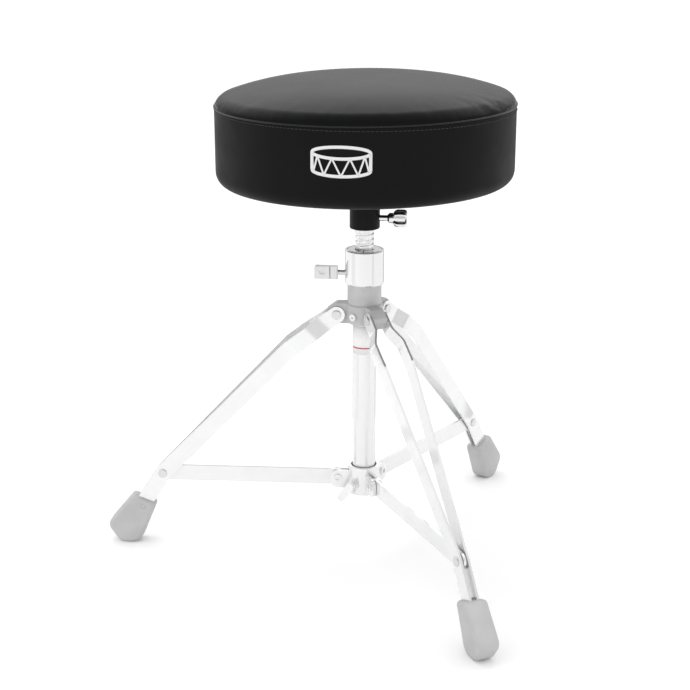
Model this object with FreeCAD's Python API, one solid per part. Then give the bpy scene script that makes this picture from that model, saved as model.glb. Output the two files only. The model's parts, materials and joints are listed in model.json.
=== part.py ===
"""Drum throne with a round seat on a threaded post and a folding double-braced tripod.

Frame: millimetres, +Z up, origin on the column axis at floor level. One leg points along -X,
the other two at 300 and 60 degrees. The front of the throne is -Y. The height is near its lowest.
Each leg is drawn lying along +X, with its two straps either side of the XZ plane, and then turned.
"""
import FreeCAD, Part
import math
import os

from FreeCAD import Vector

# Height lines, from the floor up
TUBE_BOTTOM = 86.0
STRUT_OUTER_Z = 90.5
STRUT_INNER_Z = 93.5
SPREADER_BOTTOM = 77.0
SPREADER_TOP = 111.0
HUB_BOTTOM = 287.0
LEG_PIVOT_Z = 297.5
EAR_TOP = 310.5
COLLAR_BOTTOM = 333.0
COLLAR_TOP = 373.9
LOCK_SCREW_Z = 345.5
RECEIVER_BOTTOM = 398.3
WING_BOLT_Z = 410.0
SEAT_BOTTOM = 453.5
SEAM_Z = 537.5
SEAT_TOP = 571.0

# Column
TUBE_R = 13.6
TUBE_WALL = 1.5
TUBE_TOP = 339.0
NECK_R = 19.6
SPIGOT_R = 17.0
NUT_BOTTOM = 345.0
COLLAR_R = 22.6
COLLAR_BORE_R = 20.0
COLLAR_FILLET = 3.5
COLLAR_TOP_EDGE_R = 1.6
COLLAR_LIP = 3.0
NUT_R = 19.7
NUT_SLIT = 1.4
SET_SCREW_R = 2.5
SET_SCREW_HEAD_R = 4.0
SET_SCREW_HEAD = (21.6, 24.4)
SOCKET_R = 1.6
SOCKET_DEPTH = 1.6
HUB_BODY_R = 21.5
EAR_HALF = 8.2
EAR_OUTLINE = ((4.0, EAR_TOP), (32.0, EAR_TOP), (45.5, 300.5), (37.5, HUB_BOTTOM), (4.0, HUB_BOTTOM))
EAR_RADII = (0, 6.0, 5.0, 8.0, 0)
PLUG_DEPTH = 9.0
PLUG_FLANGE = 2.0
PLUG_WALL = 3.0

# Threaded post, a 7/8 inch round-crested screw
ROD_R = 10.75
ROD_ROOT_R = 9.6
ROD_BOTTOM = 214.0
ROD_TOP = 445.8
THREAD_PITCH = 6.0
THREAD_TURNS = 29
THREAD_ROOT = 1.6
THREAD_MOUTH = 3.8
THREAD_OVERCUT = 0.6
ROD_CLEAR = 0.2
GUIDE_PIN_R = 4.0
GUIDE_PIN_LENGTH = 12.0
GUIDE_R = 12.0
GUIDE_LENGTH = 10.0

# Running fit on a radius, and the gap between flat faces that slide
FIT = 0.06
GAP = 0.2

# Longer than any cross hole has to be, and a length too small to matter
THROUGH = 30.0
TINY = 0.01

# Tripod
LEG_AZIMUTHS = {"left": 180.0, "front": 300.0, "rear": 60.0}
LEG_PIVOT_R = 31.3
LEG_KNEE = (86.0, 256.0)
LEG_BOLT_R = 243.2
LEG_END = (273.0, 43.0)
STRAP_WIDTH = 19.2
STRAP_THICK = 2.6
KNEE_BEND_R = 40.0
FOOT_BEND_R = 45.0
STRAP_TIP_R = 3.0
PIVOT_R = 3.5
RIVET_R = 3.0
RIVET_HEAD_R = 5.4
RIVET_HEAD = 1.5
RIVET_DOME = 0.8
# Half the distance between the outer faces of a leg's two straps, by distance down the leg
STRAP_SPREAD = ((-15.0, 11.0), (18.0, 11.0), (36.0, 18.8), (60.0, 18.8), (272.0, 6.6),
                (286.0, 5.6), (350.0, 5.6))
SPREAD_BEND_R = 14.0
STRUT_HALF = 1.5
STRUT_INNER_R = 30.7
STRUT_HEIGHT = 19.0
STRUT_BUSH_R = 5.0
STRUT_BUSH_WAIST_R = 4.0
STRUT_BUSH_HALF = 2.8

# Spreader that slides on the tube
SPREADER_R = 18.3
FLANGE_R = 19.3
FLANGE_THICK = 3.0
BUSH_R = 15.2
BRACKET_EAR_INNER = 2.0
BRACKET_EAR_OUTER = 6.0
BRACKET_EAR_TOP = STRUT_INNER_Z + 9.5
BRACKET_EAR_LOW = STRUT_INNER_Z - 12.0
BRACKET_EAR_CORNER_R = 7.5
BRACKET_REACH = STRUT_INNER_R + 8.0
STRUT_BOLT_HEAD_R = 4.8
STRUT_BOLT_HEAD = 2.2
STRUT_BOLT_SOCKET_R = 2.6
BOSS_R = 6.0
BUSH_CLEAR = 0.1
SPREADER_SCREW_AZIMUTH = 240.0
SPREADER_SCREW_Z = 90.5
SPREADER_BOSS_END = 23.5
LEVER_TILT = 37.0
LEVER_LENGTH = 25.0
LEVER_BLADE = (2.5, 6.0)
LEVER_HALF_ROOT = 5.0
LEVER_HALF_TIP = 3.6
LEVER_TIP_R = 3.0

# Rubber foot
FOOT_HALF = 11.5
FOOT_OUTLINE = ((252.5, 51.0), (282.0, 61.5), (314.0, 22.4), (298.5, 0.0), (274.0, 0.0))
FOOT_RADII = (5.2, 5.2, 11.0, 16.0, 15.0)
FOOT_EDGE = 4.5
FOOT_RIVET = (267.5, 48.5)

# Screws with handles
LOCK_SCREW_R = 2.9
LOCK_BOSS = (30.5, 40.0)
LOCK_GRIP_END = 57.5
LOCK_HEIGHT = 14.5
LOCK_DEPTH = 9.4
LOCK_CHAMFER = 1.2
LOCK_RECESS = ((44.0, 2.0), (52.5, 2.0), (50.5, -1.6), (46.0, -1.6))
LOCK_RECESS_DEPTH = 1.6
WING_SCREW_R = 3.4
WING_HUB = (26.0, 46.0)
WING_HUB_R = 6.2
WING_NOSE_R = 4.4
WING_NOSE = 2.0
WING_SOCKET = 4.0
WING_LOBE_START = 32.0
WING_REACH = 11.0
WING_LOBES = 4
WING_LOBE_HALF = 3.2
WING_LOBE_EDGE = 2.0

# Receiver under the seat
RECEIVER_R = 17.2
RECEIVER_BORE_TOP = 446.0
FLANGE_SIDE = 104.0
FLANGE_BOTTOM = 449.7
FLANGE_TOP = 452.7
FLANGE_CORNER_R = 14.0
RIB_HALF = 2.5
RIB_REACH = 50.0
RIB_DEPTH = 18.0
SEAT_BOLT_OFFSET = 38.0
SEAT_BOLT_R = 3.0
TEE_NUT_R = 4.0
TEE_NUT_FLANGE_R = 9.5
TEE_NUT_FLANGE = 1.4
BOLT_HEAD_FLATS = 10.0
BOLT_HEAD = 4.0

# Seat, 13 inches across
SEAT_R = 166.0
SHOULDER_R = 18.0
SHOULDER_SLOPE = 12.05
SEAT_EDGE_R = 20.0
VINYL = 1.5
BOARD_R = 144.0
BOARD_THICK = 12.0
WRAP_INNER_R = 132.0
DUST_COVER_R = 136.0
DUST_COVER_HOLE_R = 19.0

UP = Vector(0, 0, 1)
ACROSS = Vector(0, 1, 0)
ORIGIN = Vector(0, 0, 0)


def xz(x, z, y=0.0):
    """A point in the leg's own plane, or y beside it."""
    return Vector(x, y, z)


def rounded_wire(points, radii):
    """A closed wire through corner points in the XZ plane, each corner rounded by its own radius."""
    corners = [xz(*p) for p in points]
    count = len(corners)
    starts, ends, middles = [], [], []
    for i, corner in enumerate(corners):
        to_last = (corners[i - 1] - corner).normalize()
        to_next = (corners[(i + 1) % count] - corner).normalize()
        half = to_last.getAngle(to_next) / 2.0
        reach = radii[i] / math.tan(half)
        bisector = (to_last + to_next).normalize()
        centre = corner + bisector * (radii[i] / math.sin(half))
        starts.append(corner + to_last * reach)
        ends.append(corner + to_next * reach)
        middles.append(centre - bisector * radii[i])
    edges = []
    for i in range(count):
        if radii[i] > 0:
            edges.append(Part.Arc(starts[i], middles[i], ends[i]).toShape())
        following = starts[(i + 1) % count]
        if ends[i].distanceToPoint(following) > 1e-6:
            edges.append(Part.makeLine(ends[i], following))
    return Part.Wire(edges)


def plate(points, radii, y_from, y_to):
    """A flat plate with a rounded outline in the XZ plane, from y_from to y_to."""
    face = Part.Face(rounded_wire(points, radii))
    face.translate(ACROSS * y_from)
    return face.extrude(ACROSS * (y_to - y_from))


def revolved(points, radii):
    """A solid of revolution about Z of a rounded outline in the XZ plane."""
    return Part.Face(rounded_wire(points, radii)).revolve(ORIGIN, UP, 360)


def post(radius, z_from, z_to, x=0.0, y=0.0):
    """A vertical cylinder."""
    return Part.makeCylinder(radius, z_to - z_from, Vector(x, y, z_from))


def sleeve(r_in, r_out, z_from, z_to):
    """A tube on the column axis."""
    return post(r_out, z_from, z_to).cut(post(r_in, z_from, z_to))


def pin(x, z, radius, y_from, y_to):
    """A cylinder across the leg's plane."""
    return Part.makeCylinder(radius, y_to - y_from, xz(x, z, y_from), ACROSS)


def spoke(radius, r_from, r_to, z, azimuth=0.0):
    """A cylinder pointing out from the column axis."""
    shape = Part.makeCylinder(radius, r_to - r_from, xz(r_from, z), Vector(1, 0, 0))
    return turned(shape, azimuth)


def block(x_from, x_to, y_half, z_from, z_to):
    """A box centred on the XZ plane."""
    return Part.makeBox(x_to - x_from, 2 * y_half, z_to - z_from, Vector(x_from, -y_half, z_from))


def hexagon(across_flats, height, x, y, z):
    """A vertical hexagonal prism."""
    radius = across_flats / math.sqrt(3)
    points = [Vector(x + radius * math.cos(math.radians(a)), y + radius * math.sin(math.radians(a)), z)
              for a in range(0, 361, 60)]
    return Part.Face(Part.makePolygon(points)).extrude(UP * height)


def turned(shape, azimuth):
    """A copy of the shape, turned about the column axis."""
    copy = shape.copy()
    copy.rotate(ORIGIN, UP, azimuth)
    return copy


def joined(shapes):
    """One solid made of overlapping shapes."""
    whole = shapes[0]
    for shape in shapes[1:]:
        whole = whole.fuse(shape)
    return whole.removeSplitter()


def mirrored(shape):
    """The shape's mirror image across the leg's plane."""
    return shape.mirror(ORIGIN, ACROSS)


def save(name, shapes):
    """Write one named sub-part, as one solid or a group of separate solids."""
    solids = []
    for shape in shapes:
        solids.extend(shape.Solids)
    whole = solids[0] if len(solids) == 1 else Part.makeCompound(solids)
    whole.exportStep(os.path.join("parts", name + ".step"))


def offset_path(path, offset):
    """The points of an open path, moved sideways by offset in the XZ plane."""
    moved = []
    for i, point in enumerate(path):
        before = path[max(i - 1, 0)]
        after = path[min(i + 1, len(path) - 1)]
        normals = []
        for a, b in ((before, point), (point, after)):
            length = math.dist(a, b)
            if length > 0:
                normals.append(((a[1] - b[1]) / length, (b[0] - a[0]) / length))
        nx = sum(n[0] for n in normals) / len(normals)
        nz = sum(n[1] for n in normals) / len(normals)
        scale = offset / (nx * nx + nz * nz)
        moved.append((point[0] + nx * scale, point[1] + nz * scale))
    return moved


# ---------------------------------------------------------------- legs

LEG_PIVOT = (LEG_PIVOT_R, LEG_PIVOT_Z)
LEG_BOLT = (LEG_BOLT_R, STRUT_OUTER_Z)
STRUT_INNER = (STRUT_INNER_R, STRUT_INNER_Z)


def strap_side():
    """The strap seen from the side: a bar with a knee near the hub and a bend at the strut bolt."""
    half = STRAP_WIDTH / 2
    rise = math.atan2(LEG_PIVOT_Z - LEG_KNEE[1], LEG_KNEE[0] - LEG_PIVOT_R)
    end_cap = (LEG_PIVOT_R - half * math.cos(rise), LEG_PIVOT_Z + half * math.sin(rise))
    path = [end_cap, LEG_KNEE, LEG_BOLT, LEG_END]
    upper = offset_path(path, half)
    lower = offset_path(path, -half)
    down = [half - TINY, KNEE_BEND_R, FOOT_BEND_R, STRAP_TIP_R]
    reach = STRAP_SPREAD[3][1] + STRAP_THICK
    return plate(upper + lower[::-1], down + down[::-1], 0.0, reach)


def strap_plan():
    """The strap's bends out of the leg's plane, as a ribbon as deep as the leg is wide."""
    slope = math.atan2(LEG_KNEE[1] - STRUT_OUTER_Z, LEG_BOLT_R - LEG_KNEE[0])
    outer = list(STRAP_SPREAD)
    inner = [(q, w - STRAP_THICK) for q, w in STRAP_SPREAD]
    bends = [0.0] + [SPREAD_BEND_R] * (len(STRAP_SPREAD) - 2) + [0.0]
    wire = rounded_wire(outer + inner[::-1], bends + bends)
    ribbon = Part.Face(wire)
    ribbon.rotate(ORIGIN, Vector(1, 0, 0), -90)
    depth = 4 * STRAP_WIDTH
    ribbon.translate(UP * -depth)
    ribbon = ribbon.extrude(UP * 2 * depth)
    ribbon.rotate(ORIGIN, ACROSS, math.degrees(slope))
    ribbon.translate(xz(*LEG_PIVOT))
    return ribbon


def strap():
    """One strap of a leg, on the +Y side."""
    bar = strap_side().common(strap_plan())
    wide = STRAP_SPREAD[3][1] + STRAP_THICK
    bar = bar.cut(pin(*LEG_PIVOT, PIVOT_R + FIT, 0.0, wide))
    bar = bar.cut(pin(*LEG_BOLT, RIVET_R, 0.0, wide))
    return bar.cut(pin(*FOOT_RIVET, RIVET_R, 0.0, wide))


def domed_head(place, face):
    """A rivet head that stands on the plane y = face."""
    head = pin(*place, RIVET_HEAD_R, face, face + RIVET_HEAD)
    return head.makeFillet(RIVET_DOME, [e for e in head.Edges if e.BoundBox.YMin > face + RIVET_HEAD / 2])


def lower_rivet():
    """A headed stub in one strap. It stops flush with the strap's inner face."""
    face = STRAP_SPREAD[-1][1]
    stub = pin(*LEG_BOLT, RIVET_R, face - STRAP_THICK, face)
    return joined([stub, domed_head(LEG_BOLT, face)])


def foot(straps):
    """The rubber boot on the ends of both straps, with a flat sole at floor level."""
    boot = plate(FOOT_OUTLINE, FOOT_RADII, -FOOT_HALF, FOOT_HALF)
    sides = [e for e in boot.Edges if abs(abs(e.CenterOfMass.y) - FOOT_HALF) < TINY]
    boot = boot.makeFillet(FOOT_EDGE, sides)
    for bar in straps:
        boot = boot.cut(bar)
    return boot.cut(pin(*FOOT_RIVET, RIVET_R, -FOOT_HALF, FOOT_HALF))


def foot_rivet():
    """The pin that holds both straps inside the boot."""
    face = STRAP_SPREAD[-1][1]
    return pin(*FOOT_RIVET, RIVET_R, -face, face)


def legs():
    bar = strap()
    other = mirrored(bar)
    boot = foot((bar, other))
    rivet = lower_rivet()
    for name, azimuth in LEG_AZIMUTHS.items():
        save(f"leg_{name}_strap_a", [turned(bar, azimuth)])
        save(f"leg_{name}_strap_b", [turned(other, azimuth)])
        save(f"leg_{name}_lower_rivets", [turned(rivet, azimuth), turned(mirrored(rivet), azimuth)])
        save(f"leg_{name}_foot", [turned(boot, azimuth)])
        save(f"leg_{name}_foot_pin", [turned(foot_rivet(), azimuth)])


# ---------------------------------------------------------------- struts

def strut():
    """A flat bar on edge, round at both ends, with a hole at each pivot."""
    half = STRUT_HEIGHT / 2
    along = math.dist(STRUT_INNER, LEG_BOLT)
    tilt = math.degrees(math.atan2(STRUT_INNER_Z - STRUT_OUTER_Z, LEG_BOLT_R - STRUT_INNER_R))
    corners = ((-half, half), (along + half, half), (along + half, -half), (-half, -half))
    bar = plate(corners, [half - TINY] * 4, -STRUT_HALF, STRUT_HALF)
    bar.rotate(ORIGIN, ACROSS, tilt)
    bar.translate(xz(*STRUT_INNER))
    bar = bar.cut(pin(*STRUT_INNER, RIVET_R + FIT, -STRUT_HALF, STRUT_HALF))
    return bar.cut(pin(*LEG_BOLT, STRUT_BUSH_WAIST_R, -STRUT_HALF, STRUT_HALF))


def strut_bush():
    """The spool in the strut's outer hole, which keeps the leg's two straps apart."""
    waist = pin(*LEG_BOLT, STRUT_BUSH_WAIST_R, -STRUT_BUSH_HALF, STRUT_BUSH_HALF)
    rims = [pin(*LEG_BOLT, STRUT_BUSH_R, -STRUT_BUSH_HALF, -STRUT_HALF),
            pin(*LEG_BOLT, STRUT_BUSH_R, STRUT_HALF, STRUT_BUSH_HALF)]
    spool = joined([waist] + rims)
    return spool.cut(pin(*LEG_BOLT, RIVET_R, -STRUT_BUSH_HALF, STRUT_BUSH_HALF))


def struts():
    for name, azimuth in LEG_AZIMUTHS.items():
        save(f"strut_{name}", [turned(strut(), azimuth)])
        save(f"strut_{name}_bush", [turned(strut_bush(), azimuth)])


# ---------------------------------------------------------------- hub and column

def hub_casting():
    """The cast hub: a neck for the collar and three ears for the legs."""
    shapes = [post(NECK_R, LEG_PIVOT_Z, COLLAR_BOTTOM), post(SPIGOT_R, EAR_TOP, NUT_BOTTOM)]
    shapes.append(revolved(((0, HUB_BOTTOM), (HUB_BODY_R, HUB_BOTTOM), (HUB_BODY_R, EAR_TOP), (0, EAR_TOP)),
                           (0, 4.0, 2.0, 0)))
    ear = plate(EAR_OUTLINE, EAR_RADII, -EAR_HALF, EAR_HALF)
    for azimuth in LEG_AZIMUTHS.values():
        shapes.append(turned(ear, azimuth))
    hub = joined(shapes)
    hub = hub.cut(post(TUBE_R, HUB_BOTTOM, TUBE_TOP))
    hub = hub.cut(post(ROD_R + ROD_CLEAR, TUBE_TOP, NUT_BOTTOM))
    for azimuth in LEG_AZIMUTHS.values():
        hub = hub.cut(turned(pin(*LEG_PIVOT, PIVOT_R, -EAR_HALF, EAR_HALF), azimuth))
        hub = hub.cut(spoke(SET_SCREW_R, 0, THROUGH, LEG_PIVOT_Z, azimuth + 60))
    return hub.cut(spoke(LOCK_SCREW_R + GAP, 0, THROUGH, LOCK_SCREW_Z, 180))


def set_screw(azimuth):
    """A socket screw that pins the tube in the hub."""
    head_from, head_to = SET_SCREW_HEAD
    shank = spoke(SET_SCREW_R, TUBE_R, head_from + 1, LEG_PIVOT_Z, azimuth)
    head = spoke(SET_SCREW_HEAD_R, head_from, head_to, LEG_PIVOT_Z, azimuth)
    socket = spoke(SOCKET_R, head_to - SOCKET_DEPTH, head_to, LEG_PIVOT_Z, azimuth)
    return joined([shank, head]).cut(socket)


def pivot_bolt():
    """The bolt through an ear and the two straps that hug it."""
    face = STRAP_SPREAD[0][1] + GAP
    head = domed_head(LEG_PIVOT, face)
    return joined([pin(*LEG_PIVOT, PIVOT_R, -face, face), head, mirrored(head)])


def collar_shell():
    """The plated cover over the split nut."""
    lip = COLLAR_BOTTOM + COLLAR_LIP
    outline = ((0, COLLAR_BOTTOM), (COLLAR_R, COLLAR_BOTTOM), (COLLAR_R, COLLAR_TOP), (0, COLLAR_TOP))
    outer = revolved(outline, (0, COLLAR_FILLET, COLLAR_TOP_EDGE_R, 0))
    shell = outer.cut(post(COLLAR_BORE_R, lip, COLLAR_TOP))
    shell = shell.cut(post(SPIGOT_R, COLLAR_BOTTOM, lip))
    return shell.cut(spoke(LOCK_SCREW_R + GAP, 0, THROUGH, LOCK_SCREW_Z, 180))


def split_nut():
    """The clamping nut: a thick ring with one slit at the front and a boss hole for the lock screw."""
    bore = ROD_R + ROD_CLEAR
    profile = ((bore, NUT_BOTTOM), (NUT_R, NUT_BOTTOM), (NUT_R, COLLAR_TOP), (bore, COLLAR_TOP))
    nut = revolved(profile, (0, 0.6, 0.8, 0.7))
    slit = block(0, COLLAR_R, NUT_SLIT / 2, NUT_BOTTOM, COLLAR_TOP)
    nut = nut.cut(turned(slit, -90))
    return nut.cut(spoke(LOCK_SCREW_R + FIT, 0, THROUGH, LOCK_SCREW_Z, 180))


def column():
    save("hub_casting", [hub_casting()])
    save("column_tube", [sleeve(TUBE_R - TUBE_WALL, TUBE_R, TUBE_BOTTOM, TUBE_TOP)])
    save("hub_set_screws", [set_screw(a + 60) for a in LEG_AZIMUTHS.values()])
    save("leg_pivot_bolts", [turned(pivot_bolt(), a) for a in LEG_AZIMUTHS.values()])
    save("collar_shell", [collar_shell()])
    save("split_nut", [split_nut()])
    bore = TUBE_R - TUBE_WALL
    top = TUBE_BOTTOM + PLUG_DEPTH
    plug = joined([post(bore, TUBE_BOTTOM, top), post(TUBE_R, TUBE_BOTTOM - PLUG_FLANGE, TUBE_BOTTOM)])
    save("tube_end_plug", [plug.cut(post(bore - PLUG_WALL, TUBE_BOTTOM + PLUG_FLANGE, top))])


# ---------------------------------------------------------------- threaded post

def threaded_rod():
    """The post: a right-hand round screw below, a plain journal above for the seat's receiver."""
    helix = Part.makeHelix(THREAD_PITCH, THREAD_PITCH * THREAD_TURNS, ROD_R)
    mouth_r = ROD_R + THREAD_OVERCUT
    section = [xz(ROD_ROOT_R, -THREAD_ROOT / 2), xz(mouth_r, -THREAD_MOUTH / 2),
               xz(mouth_r, THREAD_MOUTH / 2), xz(ROD_ROOT_R, THREAD_ROOT / 2)]
    sweep = Part.BRepOffsetAPI.MakePipeShell(Part.Wire(helix.Edges))
    sweep.setFrenetMode(True)
    sweep.add(Part.makePolygon(section + section[:1]))
    sweep.build()
    sweep.makeSolid()
    groove = sweep.shape()
    groove.translate(UP * (ROD_BOTTOM + THREAD_PITCH))
    rod = revolved(((0, ROD_BOTTOM), (ROD_R, ROD_BOTTOM), (ROD_R, ROD_TOP), (0, ROD_TOP)), (0, 1.0, 1.5, 0))
    rod = rod.cut(groove)
    return rod.cut(post(GUIDE_PIN_R + FIT, ROD_BOTTOM, ROD_BOTTOM + GUIDE_PIN_LENGTH + GAP))


def rod_guide():
    """The nylon plug under the post. It slides in the tube without turning."""
    low = ROD_BOTTOM - GUIDE_LENGTH
    top = ROD_BOTTOM - GAP
    plug = revolved(((0, low), (GUIDE_R, low), (GUIDE_R, top), (0, top)), (0, 1.5, 1.0, 0))
    return joined([plug, post(GUIDE_PIN_R, ROD_BOTTOM - 1, ROD_BOTTOM + GUIDE_PIN_LENGTH)])


# ---------------------------------------------------------------- screws with handles

def collar_lock():
    """The tee-shaped lock screw on the collar, at the left."""
    tip = ROD_R + ROD_CLEAR + 0.4
    shank = spoke(LOCK_SCREW_R, tip, LOCK_BOSS[0] + 2, LOCK_SCREW_Z)
    boss = block(LOCK_BOSS[0], LOCK_BOSS[1], LOCK_DEPTH / 2, LOCK_SCREW_Z - LOCK_HEIGHT / 2,
                 LOCK_SCREW_Z + LOCK_HEIGHT / 2)
    uprights = [e for e in boss.Edges if abs(e.CenterOfMass.y) > TINY and e.Length > LOCK_HEIGHT - 1]
    boss = boss.makeChamfer(LOCK_CHAMFER, uprights)
    return turned(joined([shank, boss]), 180)


def collar_lock_grip():
    """The flat rectangular key on the lock screw, with a shallow recess in each face."""
    half_height = LOCK_HEIGHT / 2
    half_depth = LOCK_DEPTH / 2
    corners = ((LOCK_BOSS[1], LOCK_SCREW_Z - half_height), (LOCK_GRIP_END, LOCK_SCREW_Z - half_height),
               (LOCK_GRIP_END, LOCK_SCREW_Z + half_height), (LOCK_BOSS[1], LOCK_SCREW_Z + half_height))
    key = plate(corners, (0.6, 1.6, 1.6, 0.6), -half_depth, half_depth)
    outline = [(x, LOCK_SCREW_Z + z) for x, z in LOCK_RECESS]
    recess = plate(outline, (0.5,) * 4, half_depth - LOCK_RECESS_DEPTH, half_depth)
    return turned(key.cut(recess).cut(mirrored(recess)), 180)


def wing_screw():
    """The screw that clamps the seat's receiver on the post."""
    tip = ROD_R + FIT + 0.2
    return spoke(WING_SCREW_R, tip, WING_HUB[0] + WING_SOCKET, WING_BOLT_Z)


def wing_knob():
    """The four-lobed knob on the clamp screw."""
    nose, end = WING_HUB
    lobe_end = end + 2
    hub = spoke(WING_HUB_R, nose + WING_NOSE, end, WING_BOLT_Z)
    cone = Part.makeCone(WING_NOSE_R, WING_HUB_R, WING_NOSE, xz(nose, WING_BOLT_Z), Vector(1, 0, 0))
    corners = ((WING_LOBE_START, 0), (lobe_end, 0), (lobe_end, WING_REACH), (WING_LOBE_START, WING_REACH))
    lobe = plate(corners, (0.5, 0.5, 4.0, 6.0), -WING_LOBE_HALF, WING_LOBE_HALF)
    outer = [e for e in lobe.Edges
             if abs(abs(e.CenterOfMass.y) - WING_LOBE_HALF) < TINY and e.BoundBox.ZMax > WING_HUB_R]
    lobe = lobe.makeFillet(WING_LOBE_EDGE, outer)
    shapes = [hub, cone]
    for i in range(WING_LOBES):
        one = lobe.copy()
        one.rotate(ORIGIN, Vector(1, 0, 0), (i + 0.5) * 360 / WING_LOBES)
        one.translate(UP * WING_BOLT_Z)
        shapes.append(one)
    return joined(shapes).cut(spoke(WING_SCREW_R, nose, nose + WING_SOCKET, WING_BOLT_Z))


def spreader_screw():
    """The spreader's clamp screw and its one-sided thumb lever, at the front left."""
    shank = spoke(RIVET_R, TUBE_R + 0.4, SPREADER_BOSS_END + 2, SPREADER_SCREW_Z)
    blade_from, blade_to = (SPREADER_BOSS_END + reach for reach in LEVER_BLADE)
    neck = spoke(LEVER_HALF_ROOT, SPREADER_BOSS_END + GAP, blade_to, SPREADER_SCREW_Z)
    corners = ((-LEVER_HALF_ROOT, 0), (LEVER_HALF_ROOT, 0), (LEVER_HALF_TIP, -LEVER_LENGTH),
               (-LEVER_HALF_TIP, -LEVER_LENGTH), (-LEVER_HALF_ROOT, 0))
    face = Part.Face(Part.makePolygon([Vector(blade_from, y, z) for y, z in corners]))
    blade = face.extrude(Vector(blade_to - blade_from, 0, 0))
    tip_edges = [e for e in blade.Edges if e.BoundBox.ZMax < 1 - LEVER_LENGTH and e.BoundBox.YLength < TINY]
    blade = blade.makeFillet(LEVER_TIP_R, tip_edges)
    blade.rotate(ORIGIN, Vector(1, 0, 0), -LEVER_TILT)
    blade.translate(UP * SPREADER_SCREW_Z)
    return turned(joined([shank, neck, blade]), SPREADER_SCREW_AZIMUTH)


# ---------------------------------------------------------------- spreader

def spreader_bracket():
    """The flanged ring that carries three pairs of ears and a boss for its clamp screw."""
    shapes = [post(SPREADER_R, SPREADER_BOTTOM, SPREADER_TOP),
              post(FLANGE_R, SPREADER_TOP - FLANGE_THICK, SPREADER_TOP),
              spoke(BOSS_R, 0, SPREADER_BOSS_END, SPREADER_SCREW_Z, SPREADER_SCREW_AZIMUTH)]
    outline = ((10.0, BRACKET_EAR_LOW), (BRACKET_REACH, BRACKET_EAR_LOW),
               (BRACKET_REACH, BRACKET_EAR_TOP), (10.0, BRACKET_EAR_TOP))
    radii = (0, BRACKET_EAR_CORNER_R, BRACKET_EAR_CORNER_R, 0)
    ear = plate(outline, radii, BRACKET_EAR_INNER, BRACKET_EAR_OUTER)
    for azimuth in LEG_AZIMUTHS.values():
        shapes.append(turned(ear, azimuth))
        shapes.append(turned(mirrored(ear), azimuth))
    bracket = joined(shapes).cut(post(BUSH_R, SPREADER_BOTTOM, SPREADER_TOP))
    for azimuth in LEG_AZIMUTHS.values():
        slot = block(STRUT_INNER_R - 11.5, BRACKET_REACH, BRACKET_EAR_INNER,
                     SPREADER_BOTTOM, SPREADER_TOP - 6)
        bracket = bracket.cut(turned(pin(*STRUT_INNER, RIVET_R, -EAR_HALF, EAR_HALF), azimuth))
        bracket = bracket.cut(turned(slot, azimuth))
    return bracket.cut(spoke(RIVET_R + FIT, 0, THROUGH, SPREADER_SCREW_Z, SPREADER_SCREW_AZIMUTH))


def spreader_bush():
    """The nylon sleeve between the spreader and the tube."""
    bush = sleeve(TUBE_R + BUSH_CLEAR, BUSH_R, SPREADER_BOTTOM + 1, SPREADER_TOP - 1)
    return bush.cut(spoke(RIVET_R + GAP, 0, THROUGH, SPREADER_SCREW_Z, SPREADER_SCREW_AZIMUTH))


def strut_bolt():
    """The bolt through a pair of ears and the strut between them."""
    shank = pin(*STRUT_INNER, RIVET_R, -BRACKET_EAR_OUTER, BRACKET_EAR_OUTER)
    top = BRACKET_EAR_OUTER + STRUT_BOLT_HEAD
    head = pin(*STRUT_INNER, STRUT_BOLT_HEAD_R, BRACKET_EAR_OUTER, top)
    socket = pin(*STRUT_INNER, STRUT_BOLT_SOCKET_R, top - SOCKET_DEPTH, top)
    return joined([shank, head, mirrored(head)]).cut(socket).cut(mirrored(socket))


def spreader():
    save("spreader_bracket", [spreader_bracket()])
    save("spreader_bush", [spreader_bush()])
    save("strut_pivot_bolts", [turned(strut_bolt(), a) for a in LEG_AZIMUTHS.values()])
    save("spreader_lock_lever", [spreader_screw()])


# ---------------------------------------------------------------- seat

def seat_body(inset):
    """The seat's outer form, drawn in by inset: domed crown, round shoulder, straight side."""
    side = SEAT_R - inset
    shoulder_x = SEAT_R - SHOULDER_R
    slope = math.radians(SHOULDER_SLOPE)
    shoulder_r = SHOULDER_R - inset
    shoulder_end = xz(shoulder_x + shoulder_r * math.sin(slope), SEAM_Z + shoulder_r * math.cos(slope))
    shoulder_mid = math.radians(45 + SHOULDER_SLOPE / 2)
    top = SEAT_TOP - inset
    rise = top - shoulder_end.z
    crown_r = (shoulder_end.x ** 2 + rise ** 2) / (2 * rise)
    half_angle = math.asin(shoulder_end.x / crown_r) / 2
    crown_mid = xz(crown_r * math.sin(half_angle), top - crown_r * (1 - math.cos(half_angle)))
    bottom = SEAT_BOTTOM + inset
    edge_r = SEAT_EDGE_R - inset
    edge_centre = xz(side - edge_r, bottom + edge_r)
    diagonal = edge_r * math.sqrt(0.5)
    edges = [Part.makeLine(xz(0, bottom), xz(edge_centre.x, bottom)),
             Part.Arc(xz(edge_centre.x, bottom), edge_centre + xz(diagonal, -diagonal),
                      xz(side, edge_centre.z)).toShape(),
             Part.makeLine(xz(side, edge_centre.z), xz(side, SEAM_Z)),
             Part.Arc(xz(side, SEAM_Z),
                      xz(shoulder_x + shoulder_r * math.sin(shoulder_mid),
                         SEAM_Z + shoulder_r * math.cos(shoulder_mid)),
                      shoulder_end).toShape(),
             Part.Arc(shoulder_end, crown_mid, xz(0, top)).toShape(),
             Part.makeLine(xz(0, top), xz(0, bottom))]
    return Part.Face(Part.Wire(edges)).revolve(ORIGIN, UP, 360)


def seat_bolt_places():
    offset = SEAT_BOLT_OFFSET
    return [(x, y) for x in (-offset, offset) for y in (-offset, offset)]


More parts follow.
